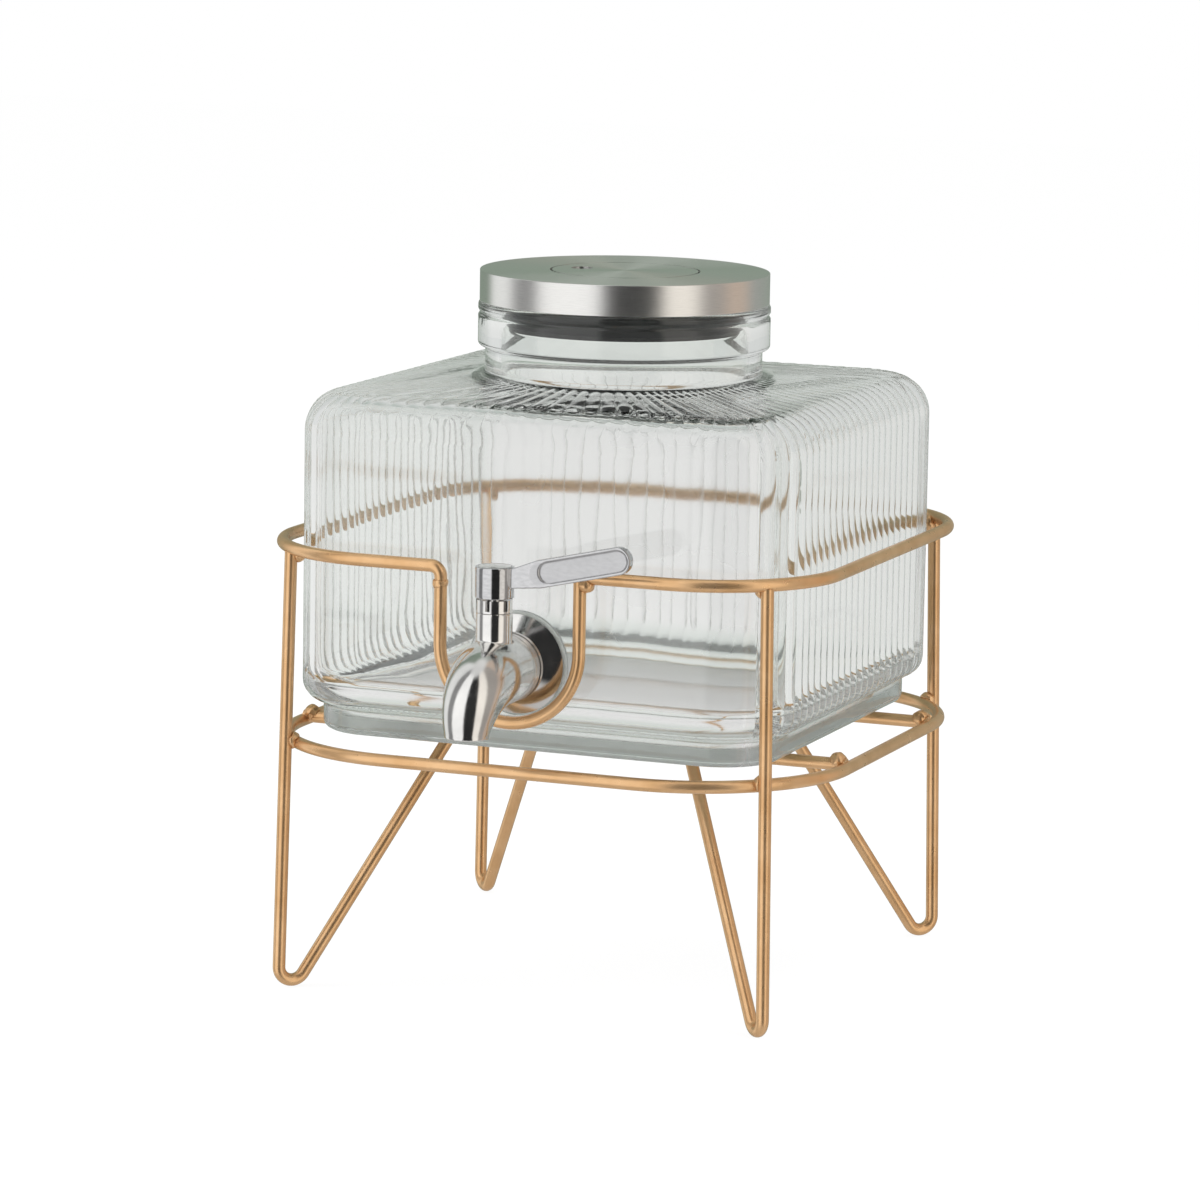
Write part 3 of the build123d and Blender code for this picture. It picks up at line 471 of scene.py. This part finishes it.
def black_rubber():
    """Black silicone of the seals."""
    s = Shader("black_rubber", Specular_IOR_Level=0.25)
    where = s.position()
    s.tint(s.spread(s.noise(where, 300, 3), 0, 1), linear(12, 12, 13), linear(22, 22, 22))
    s.rough(s.spread(s.noise(where, 900, 3), 0.42, 0.6))
    s.bump(s.noise(where, 1800, 3), distance=0.05 * MM, strength=0.5)
    return s.material


def clear_silicone():
    """Milky clear silicone of the washers."""
    s = Shader("clear_silicone", Transmission_Weight=0.55, IOR=1.41)
    where = s.position()
    s.tint(s.spread(s.noise(where, 250, 3), 0, 1), linear(214, 220, 216), linear(236, 240, 236))
    s.rough(s.spread(s.noise(where, 800, 3), 0.3, 0.45))
    s.bump(s.noise(where, 900, 3), distance=0.05 * MM, strength=0.4)
    return s.material


def dark_plastic():
    """Moulded dark plastic of the lid's plug."""
    s = Shader("dark_plastic")
    where = s.position()
    s.tint(s.spread(s.noise(where, 260, 3), 0, 1), linear(34, 35, 36), linear(52, 53, 54))
    s.rough(s.spread(s.noise(where, 900, 4), 0.38, 0.55))
    s.bump(s.noise(where, 2400, 3), distance=0.04 * MM, strength=0.5)
    return s.material


MATERIALS = {
    "stand_wire": gold_wire(),
    "jar_glass": clear_glass(),
    "tap_steel": polished_steel(),
    "lever_steel": lever_steel(),
    "screw_steel": plain_steel(),
    "clear_silicone": clear_silicone(),
    "black_seal": black_rubber(),
    "lid_steel": brushed_steel(),
    "plug_plastic": dark_plastic(),
}


# Mesh helpers

def mesh_piece(name, vertices, faces, body, slot, smooth_angle):
    """A mesh piece that rides on a body and takes its slot's material."""
    mesh = bpy.data.meshes.new(name)
    mesh.from_pydata(vertices, [], faces)
    mesh.update()
    piece = bpy.data.objects.new(name, mesh)
    scene.collection.objects.link(piece)
    finish_mesh(piece, smooth_angle)
    mesh.materials.append(MATERIALS[slot])
    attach(piece, body)
    return piece


def finish_mesh(piece, smooth_angle):
    """Outward normals, and smooth shading below an angle."""
    made = bmesh.new()
    made.from_mesh(piece.data)
    bmesh.ops.recalc_face_normals(made, faces=made.faces)
    for edge in made.edges:
        sharp = len(edge.link_faces) == 2 and edge.calc_face_angle(0) > math.radians(smooth_angle)
        edge.smooth = not sharp
    for face in made.faces:
        face.smooth = True
    made.to_mesh(piece.data)
    made.free()


# Glass jar

def perimeter_columns(half, corner):
    """Columns round the jar, each (height share of its reed, if it is in front, sector, place in the sector).

    Sector 0 is the front right corner; they go on by the right side and the back to the front, sector 7.
    The front's reeds lie between the middles of the two front corners.
    """
    flat = 2 * (half - corner)
    arc = corner * math.pi / 2
    runs = [arc, flat] * 4
    total = sum(runs)
    front_length = flat + arc
    sides_length = total - front_length
    columns = []
    for length, count, front in (
        (sides_length, REED_COUNT_SIDES, False), (front_length, REED_COUNT_FRONT, True),
    ):
        begin = arc / 2 + (sides_length if front else 0)
        for reed in range(count):
            for column in range(REED_COLUMNS):
                across = 2 * column / REED_COLUMNS - 1
                spread = math.copysign(abs(across) ** COLUMN_CROWDING, across)
                distance = (begin + length * (reed + (spread + 1) / 2) / count) % total
                sector = 0
                while distance > runs[sector] and sector < 7:
                    distance -= runs[sector]
                    sector += 1
                height = 1 - abs(spread) ** REED_SHARPNESS
                if sector in REAR_SECTORS:
                    height = 1 - REAR_DEPTH_SHARE * (1 - height)
                columns.append((height, front, sector, distance / runs[sector]))
    return columns


def square_ring(columns, half, corner):
    """Places of the columns on a rounded square, as an array of x and y."""
    flat = half - corner
    places = []
    for _, _, sector, share in columns:
        turn = sector // 2
        sign_x, sign_y = CORNER_SIGNS[turn]
        if sector % 2 == 0:
            angle = math.pi / 2 * (turn - 1 + share)
            places.append((
                sign_x * flat + corner * math.cos(angle),
                sign_y * flat + corner * math.sin(angle),
            ))
        else:
            angle = math.pi / 2 * turn
            next_x, next_y = CORNER_SIGNS[(turn + 1) % 4]
            places.append((
                sign_x * flat + corner * math.cos(angle) + (next_x - sign_x) * flat * share,
                sign_y * flat + corner * math.sin(angle) + (next_y - sign_y) * flat * share,
            ))
    return np.array(places)


def arc_points(centre, radius, start, end, steps):
    """Points on an arc as across and height, angles in degrees, both ends included."""
    angles = np.radians(np.linspace(start, end, steps + 1))
    return [(centre[0] + radius * math.cos(a), centre[1] + radius * math.sin(a)) for a in angles]


def crown_lift(share):
    """Rise of the crown from the square's edge, share 0, to the neck, share 1."""
    return CROWN_RISE_USED * CROWN_RISE * share


class Profile:
    """The jar's rings from the middle of its underside, over the lip, to the middle of its floor.

    Each is (kind, across, height, corner radius or morph share, reed share on the sides, on the front).
    """

    def __init__(self, low, high, half):
        self.low = low
        self.high = high
        self.half = half
        self.foot_top = low + FOOT_HEIGHT
        self.top = high - RIM_HEIGHT - NECK_HEIGHT - CROWN_RISE
        self.inner_top = self.top - CROWN_WALL + crown_lift(1)
        self.rings = []
        self.add_foot()
        self.add_sides()
        self.add_crown()
        self.add_neck()
        self.add_inner_neck()
        self.add_inner_crown()
        self.add_well()

    def square(self, across, height, corner, reed=0.0, front=0.0):
        self.rings.append(("square", across, height, corner, reed, front))

    def circles(self, places):
        for across, height in places:
            self.rings.append(("circle", across, height, 1.0, 0.0, 0.0))

    def add_foot(self):
        """Underside, foot and heel."""
        for share, lift in UNDERSIDE_ARCH:
            self.square(FOOT_HALF * share, self.low + lift * MM, FOOT_CORNER * share)
        centre = (FOOT_HALF - FOOT_ROUND, self.low + FOOT_ROUND)
        for across, height in arc_points(centre, FOOT_ROUND, -90, 0, 5):
            self.square(across, height, FOOT_CORNER - (FOOT_HALF - across))
        self.square(FOOT_HALF, self.low + FOOT_RING * FOOT_HEIGHT, FOOT_CORNER)
        centre = (FOOT_HALF + HEEL_FILLET, self.foot_top - HEEL_FILLET)
        for across, height in arc_points(centre, HEEL_FILLET, 180, 100, 3):
            self.square(across, height, FOOT_CORNER + (across - FOOT_HALF))
        heel = self.half - FOOT_HALF
        for index, (across, height) in enumerate(
            arc_points((FOOT_HALF, self.foot_top + heel), heel, -75, 0, 7)
        ):
            grown = (across - FOOT_HALF) / heel
            corner = FOOT_CORNER + (JAR_CORNER - FOOT_CORNER) * grown
            self.square(across, height, corner, min(1, index / 4))

    def add_sides(self):
        """Sides and the shoulder's round, where the front's reeds begin."""
        bottom = self.foot_top + self.half - FOOT_HALF
        top = self.top - SHOULDER
        for step in range(1, SIDE_STEPS):
            self.square(self.half, bottom + (top - bottom) * step / SIDE_STEPS, JAR_CORNER, 1.0)
        for index, (across, height) in enumerate(
            arc_points((self.half - SHOULDER, top), SHOULDER, 0, 88, SHOULDER_STEPS)
        ):
            side = 1 + (CROWN_REED_SHARE - 1) * index / SHOULDER_STEPS
            front = CROWN_REED_SHARE * max(0, index - SMOOTH_STEPS) / (SHOULDER_STEPS - SMOOTH_STEPS)
            self.square(across, height, JAR_CORNER - (self.half - across), side, front)

    def add_crown(self):
        """Crown, from the square to the neck's circle."""
        for step in range(1, CROWN_STEPS):
            share = step / CROWN_STEPS
            reed = CROWN_REED_SHARE * (1 - CROWN_REED_LOSS * share)
            reed *= min(1, (1 - share) / CROWN_REED_END)
            height = self.top + crown_lift(share)
            self.rings.append(("morph", self.half - SHOULDER, height, share, reed, reed))

    def add_neck(self):
        """Neck, rim band, groove and lip."""
        bottom = self.top + CROWN_RISE
        self.circles(arc_points((NECK_RADIUS + NECK_FILLET, bottom + NECK_FILLET), NECK_FILLET, 262, 180, 4))
        self.circles([(NECK_RADIUS, bottom + NECK_HEIGHT * NECK_RING)])
        rim_bottom = bottom + NECK_HEIGHT
        self.circles(arc_points((NECK_RADIUS + NECK_EASE, rim_bottom - NECK_EASE), NECK_EASE, 180, 90, 3))
        self.circles(arc_points((RIM_RADIUS - RIM_ROUND, rim_bottom + RIM_ROUND), RIM_ROUND, -85, 0, 4))
        groove = self.high - GROOVE_BELOW_TOP
        self.circles((RIM_RADIUS + across * MM, groove + height * MM) for across, height in GROOVE_PROFILE)
        self.circles(arc_points((RIM_RADIUS - LIP_ROUND, self.high - LIP_ROUND), LIP_ROUND, 0, 90, 6))
        self.circles([((RIM_RADIUS + MOUTH_RADIUS) / 2, self.high)])
        self.circles(arc_points((MOUTH_RADIUS + LIP_ROUND, self.high - LIP_ROUND), LIP_ROUND, 90, 180, 6))

    def add_inner_neck(self):
        bore_top = self.high - LIP_ROUND
        bore_bottom = self.inner_top + INNER_NECK_ROUND
        self.circles(
            (MOUTH_RADIUS, bore_top + (bore_bottom - bore_top) * step / BORE_STEPS)
            for step in range(1, BORE_STEPS)
        )
        centre = (MOUTH_RADIUS + INNER_NECK_ROUND, bore_bottom)
        self.circles(arc_points(centre, INNER_NECK_ROUND, 180, 268, 5))

    def add_inner_crown(self):
        edge = self.half - SHOULDER
        for step in range(1, INNER_CROWN_STEPS):
            share = 1 - step / INNER_CROWN_STEPS
            height = self.inner_top - crown_lift(1) + crown_lift(share ** INNER_CROWN_POWER)
            self.rings.append(("inner_morph", edge, height, share, 0.0, 0.0))

    def add_well(self):
        """Inside of the shoulder, sides, heel and floor."""
        half = self.half - JAR_WALL
        shoulder = SHOULDER - JAR_WALL
        corner = JAR_CORNER - JAR_WALL
        side_top = self.inner_top - crown_lift(1) - shoulder
        for across, height in arc_points((half - shoulder, side_top), shoulder, 90, 0, 9):
            self.square(across, height, corner - (half - across))
        heel = half - WELL_HALF
        side_bottom = self.foot_top + WELL_TOP + heel
        for step in range(1, WELL_STEPS):
            self.square(half, side_top + (side_bottom - side_top) * step / WELL_STEPS, corner)
        for across, height in arc_points((half - heel, side_bottom), heel, 0, -70, 5):
            self.square(across, height, corner - (half - across) * HEEL_TIGHTENING)
        floor = self.low + JAR_FLOOR
        for across, height in arc_points((WELL_HALF - WELL_ROUND, floor + WELL_ROUND), WELL_ROUND, 0, -90, 6):
            self.square(across, height, WELL_CORNER - (WELL_HALF - across) * WELL_TIGHTENING)
        for share, lift in reversed(FLOOR_CROWN):
            self.square(WELL_HALF * share, floor + lift * MM, FLOOR_CORNER * share)


def glass_jar():
    """One closed glass body: reeded sides, smooth front, reeds fanning over the shoulder to the neck."""
    low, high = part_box("glass_jar")
    half = (high.x - low.x) / 2
    columns = perimeter_columns(half, JAR_CORNER)
    base = square_ring(columns, half, JAR_CORNER)
    bearing = np.arctan2(base[:, 1], base[:, 0])
    round_shape = np.stack([np.cos(bearing), np.sin(bearing)], 1)
    depth_share = np.array([1 - column[0] for column in columns])
    is_front = np.array([column[1] for column in columns])
    count = len(columns)
    rows = []
    reed_depths = []
    for kind, across, height, extra, reed, front in Profile(low.z, high.z, half).rings:
        if kind == "square":
            plan = square_ring(columns, across, max(extra, LEAST_CORNER))
        elif kind == "circle":
            plan = round_shape * across
        else:
            radius = MOUTH_RADIUS + INNER_NECK_ROUND if kind == "inner_morph" else NECK_RADIUS + NECK_FILLET
            square = square_ring(columns, across, JAR_CORNER - SHOULDER)
            plan = square * (1 - extra) + round_shape * radius * extra
        rows.append(np.column_stack([plan, np.full(count, height)]))
        reed_depths.append(REED_DEPTH * depth_share * np.where(is_front, front, reed))
    points = np.array(rows)
    along = np.roll(points, -1, axis=1) - np.roll(points, 1, axis=1)
    up = np.gradient(points, axis=0)
    normals = np.cross(along, up)
    normals /= np.maximum(np.linalg.norm(normals, axis=2, keepdims=True), 1e-9)
    highest_row = max(range(len(rows)), key=lambda row: points[row, 0, 2])
    washer_low, washer_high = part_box("outer_washer")
    tap_height = (washer_low.z + washer_high.z) / 2
    waves = np.array([
        [wave_height(place, row > highest_row, tap_height) for place in points[row]]
        for row in range(len(rows))
    ])
    points -= normals * (np.array(reed_depths) + waves)[:, :, None]
    vertices = points.reshape(-1, 3).tolist()
    faces = []
    for row in range(len(rows) - 1):
        start = row * count
        for column in range(count):
            after = (column + 1) % count
            faces.append((start + column, start + after, start + count + after, start + count + column))
    for row in (0, len(rows) - 1):
        vertices.append(points[row].mean(axis=0).tolist())
        for column in range(count):
            edge = (row * count + column, row * count + (column + 1) % count)
            faces.append((edge[1], edge[0], len(vertices) - 1) if row == 0 else (*edge, len(vertices) - 1))
    jar = mesh_piece("jar_glass_body", vertices, faces, "jar", "jar_glass", smooth_angle=50)
    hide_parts("glass_jar")


def wave_height(place, inside, tap_height):
    """Waves of pressed glass: soft tall streaks inside, and a fine unevenness outside."""
    streaks = noise.noise(Vector(place * STREAK_SCALE))
    swell = noise.noise(Vector(place * SWELL_SCALE) + SWELL_OFFSET)
    if inside:
        return INSIDE_STREAKS * streaks + INSIDE_SWELL * swell
    if place[1] > 0:
        calm = 1
    else:
        calm = min(1, max(0, math.hypot(place[0], place[2] - tap_height) / WASHER_CLEAR - 1))
    return (OUTSIDE_STREAKS * streaks + OUTSIDE_SWELL * swell) * calm


# Frame nodes, and the pieces that are made from copies of them

def dress_frame():
    """The record's slot materials on every CAD node that stays."""
    for name, piece in frame["nodes"].items():
        piece.data.materials.clear()
        piece.data.materials.append(MATERIALS[SLOTS[name]])
        for face in piece.data.polygons:
            face.material_index = 0


def remeshed_copy(node, body, voxel, smoothing):
    """A copy of a node whose edges are blended: its mesh made anew from voxels, then smoothed."""
    source = bpy.data.objects.new("source", frame["nodes"][node].data.copy())
    scene.collection.objects.link(source)
    remesh = source.modifiers.new("remesh", "REMESH")
    remesh.mode = "VOXEL"
    remesh.voxel_size = voxel
    smooth = source.modifiers.new("smooth", "SMOOTH")
    smooth.iterations = smoothing
    smooth.factor = 0.5
    evaluated = source.evaluated_get(bpy.context.evaluated_depsgraph_get())
    mesh = bpy.data.meshes.new_from_object(evaluated)
    bpy.data.objects.remove(source)
    mesh.name = node + "_cast"
    mesh.materials.clear()
    mesh.materials.append(MATERIALS[SLOTS[node]])
    mesh.polygons.foreach_set("use_smooth", [True] * len(mesh.polygons))
    piece = bpy.data.objects.new(node + "_cast", mesh)
    scene.collection.objects.link(piece)
    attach(piece, body)
    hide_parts(node)
    return piece


def lumpy_welds():
    """Weld beads swollen onto their wires, with an uneven skin."""
    beads = remeshed_copy("weld_beads", "stand", WELD_VOXEL, WELD_SMOOTHING)
    for vertex in beads.data.vertices:
        lumps = sum(noise.noise(vertex.co * scale) * height for scale, height in WELD_LUMPS)
        vertex.co += vertex.normal * (WELD_SWELL + lumps)


# Stage, lights and camera

def add_stage():
    """A large pale floor that shows white and keeps a faint shadow."""
    made = bmesh.new()
    bmesh.ops.create_grid(made, x_segments=2, y_segments=2, size=FLOOR_HALF)
    mesh = bpy.data.meshes.new("floor")
    made.to_mesh(mesh)
    made.free()
    floor = bpy.data.objects.new("floor", mesh)
    scene.collection.objects.link(floor)
    paint = Shader("floor_white", Base_Color=FLOOR_PAINT, Roughness=0.9)
    path = paint.node("ShaderNodeLightPath").outputs
    glow = paint.node("ShaderNodeEmission")
    paint.put(paint.mix(path["Is Transmission Ray"], FLOOR_SEEN, FLOOR_IN_GLASS), glow.inputs["Color"])
    mix = paint.node("ShaderNodeMixShader")
    seen = paint.largest(path["Is Camera Ray"], path["Is Transmission Ray"])
    paint.put(paint.multiply(seen, FLOOR_GLOW), mix.inputs[0])
    paint.put(paint.principled.outputs[0], mix.inputs[1])
    paint.put(glow.outputs[0], mix.inputs[2])
    paint.put(mix.outputs[0], paint.tree.nodes["Material Output"].inputs["Surface"])
    mesh.materials.append(paint.material)
    floor.visible_glossy = False


def add_world():
    """White behind everything that the camera sees; a studio of bright and dark walls for metal and glass."""
    world = bpy.data.worlds.new("studio")
    scene.world = world
    world.use_nodes = True
    sky = Nodes(world.node_tree)
    coords = sky.node("ShaderNodeTexCoord")
    turn = sky.node("ShaderNodeVectorRotate", rotation_type="Z_AXIS")
    turn.inputs["Angle"].default_value = -math.radians(CAMERA_AZIMUTH)
    sky.put(coords.outputs["Generated"], turn.inputs["Vector"])
    x, y, z = sky.split(turn.outputs[0])
    bearing = sky.calculate("ARCTAN2", x, sky.multiply(y, -1.0))
    share = sky.calculate("MULTIPLY_ADD", bearing, 0.5 / math.pi, 0.5)
    metal = sky.mix(sky.step(z, *METAL_TOP_STEP), sky.ramp(share, METAL_STUDIO), METAL_TOP)
    metal = sky.mix(sky.step(sky.multiply(z, -1.0), *METAL_BOTTOM_STEP), metal, METAL_BOTTOM)
    glass = sky.mix(sky.step(z, *GLASS_TOP_STEP), sky.ramp(share, GLASS_STUDIO), GLASS_TOP)
    path = sky.node("ShaderNodeLightPath").outputs
    seen = sky.mix(path["Is Glossy Ray"], SOFT_LIGHT, metal)
    seen = sky.mix(path["Is Transmission Ray"], seen, glass)
    seen = sky.mix(path["Is Camera Ray"], seen, WHITE)
    sky.put(seen, sky.tree.nodes["Background"].inputs["Color"])


def add_lamp(name, place, size, watts):
    """A soft rectangular lamp that points at the middle of the object."""
    data = bpy.data.lights.new(name, "AREA")
    data.shape = "RECTANGLE"
    data.size, data.size_y = size
    data.energy = watts
    lamp = bpy.data.objects.new(name, data)
    lamp.location = place
    lamp.rotation_euler = (Vector(LAMP_TARGET) - Vector(place)).to_track_quat("-Z", "Y").to_euler()
    scene.collection.objects.link(lamp)
    lamp.visible_camera = False
    lamp.visible_glossy = False
    lamp.visible_transmission = False


def add_camera():
    azimuth, elevation = math.radians(CAMERA_AZIMUTH), math.radians(CAMERA_ELEVATION)
    back = Vector((
        math.sin(azimuth) * math.cos(elevation),
        -math.cos(azimuth) * math.cos(elevation),
        math.sin(elevation),
    ))
    right = Vector((math.cos(azimuth), math.sin(azimuth), 0))
    up = back.cross(right)
    roll = math.radians(CAMERA_ROLL)
    turned_right = right * math.cos(roll) + up * math.sin(roll)
    turned_up = up * math.cos(roll) - right * math.sin(roll)
    data = bpy.data.cameras.new("camera")
    data.sensor_width = SENSOR
    data.lens = FOCAL_PIXELS / FRAME_PIXELS * SENSOR
    data.shift_x = -OFFSET_PIXELS[0] / FRAME_PIXELS
    data.shift_y = OFFSET_PIXELS[1] / FRAME_PIXELS
    data.clip_end = 20
    camera = bpy.data.objects.new("camera", data)
    place = Vector((0, 0, CAMERA_TARGET_HEIGHT)) + back * CAMERA_DISTANCE
    turn = Matrix((turned_right, turned_up, back)).transposed()
    camera.matrix_world = Matrix.Translation(place) @ turn.to_4x4()
    scene.collection.objects.link(camera)
    scene.camera = camera


dress_frame()
glass_jar()
remeshed_copy("tap_body", "jar", TAP_BODY_VOXEL, TAP_BODY_SMOOTHING)
remeshed_copy("lever", "tap_lever", LEVER_VOXEL, LEVER_SMOOTHING)
lumpy_welds()
add_stage()
add_world()
for lamp_values in LAMPS:
    add_lamp(*lamp_values)
add_camera()
scene.view_settings.view_transform = "Standard"
# Light goes through many faces of the thick glass
scene.cycles.max_bounces = 24
scene.cycles.glossy_bounces = 14
scene.cycles.transmission_bounces = 20
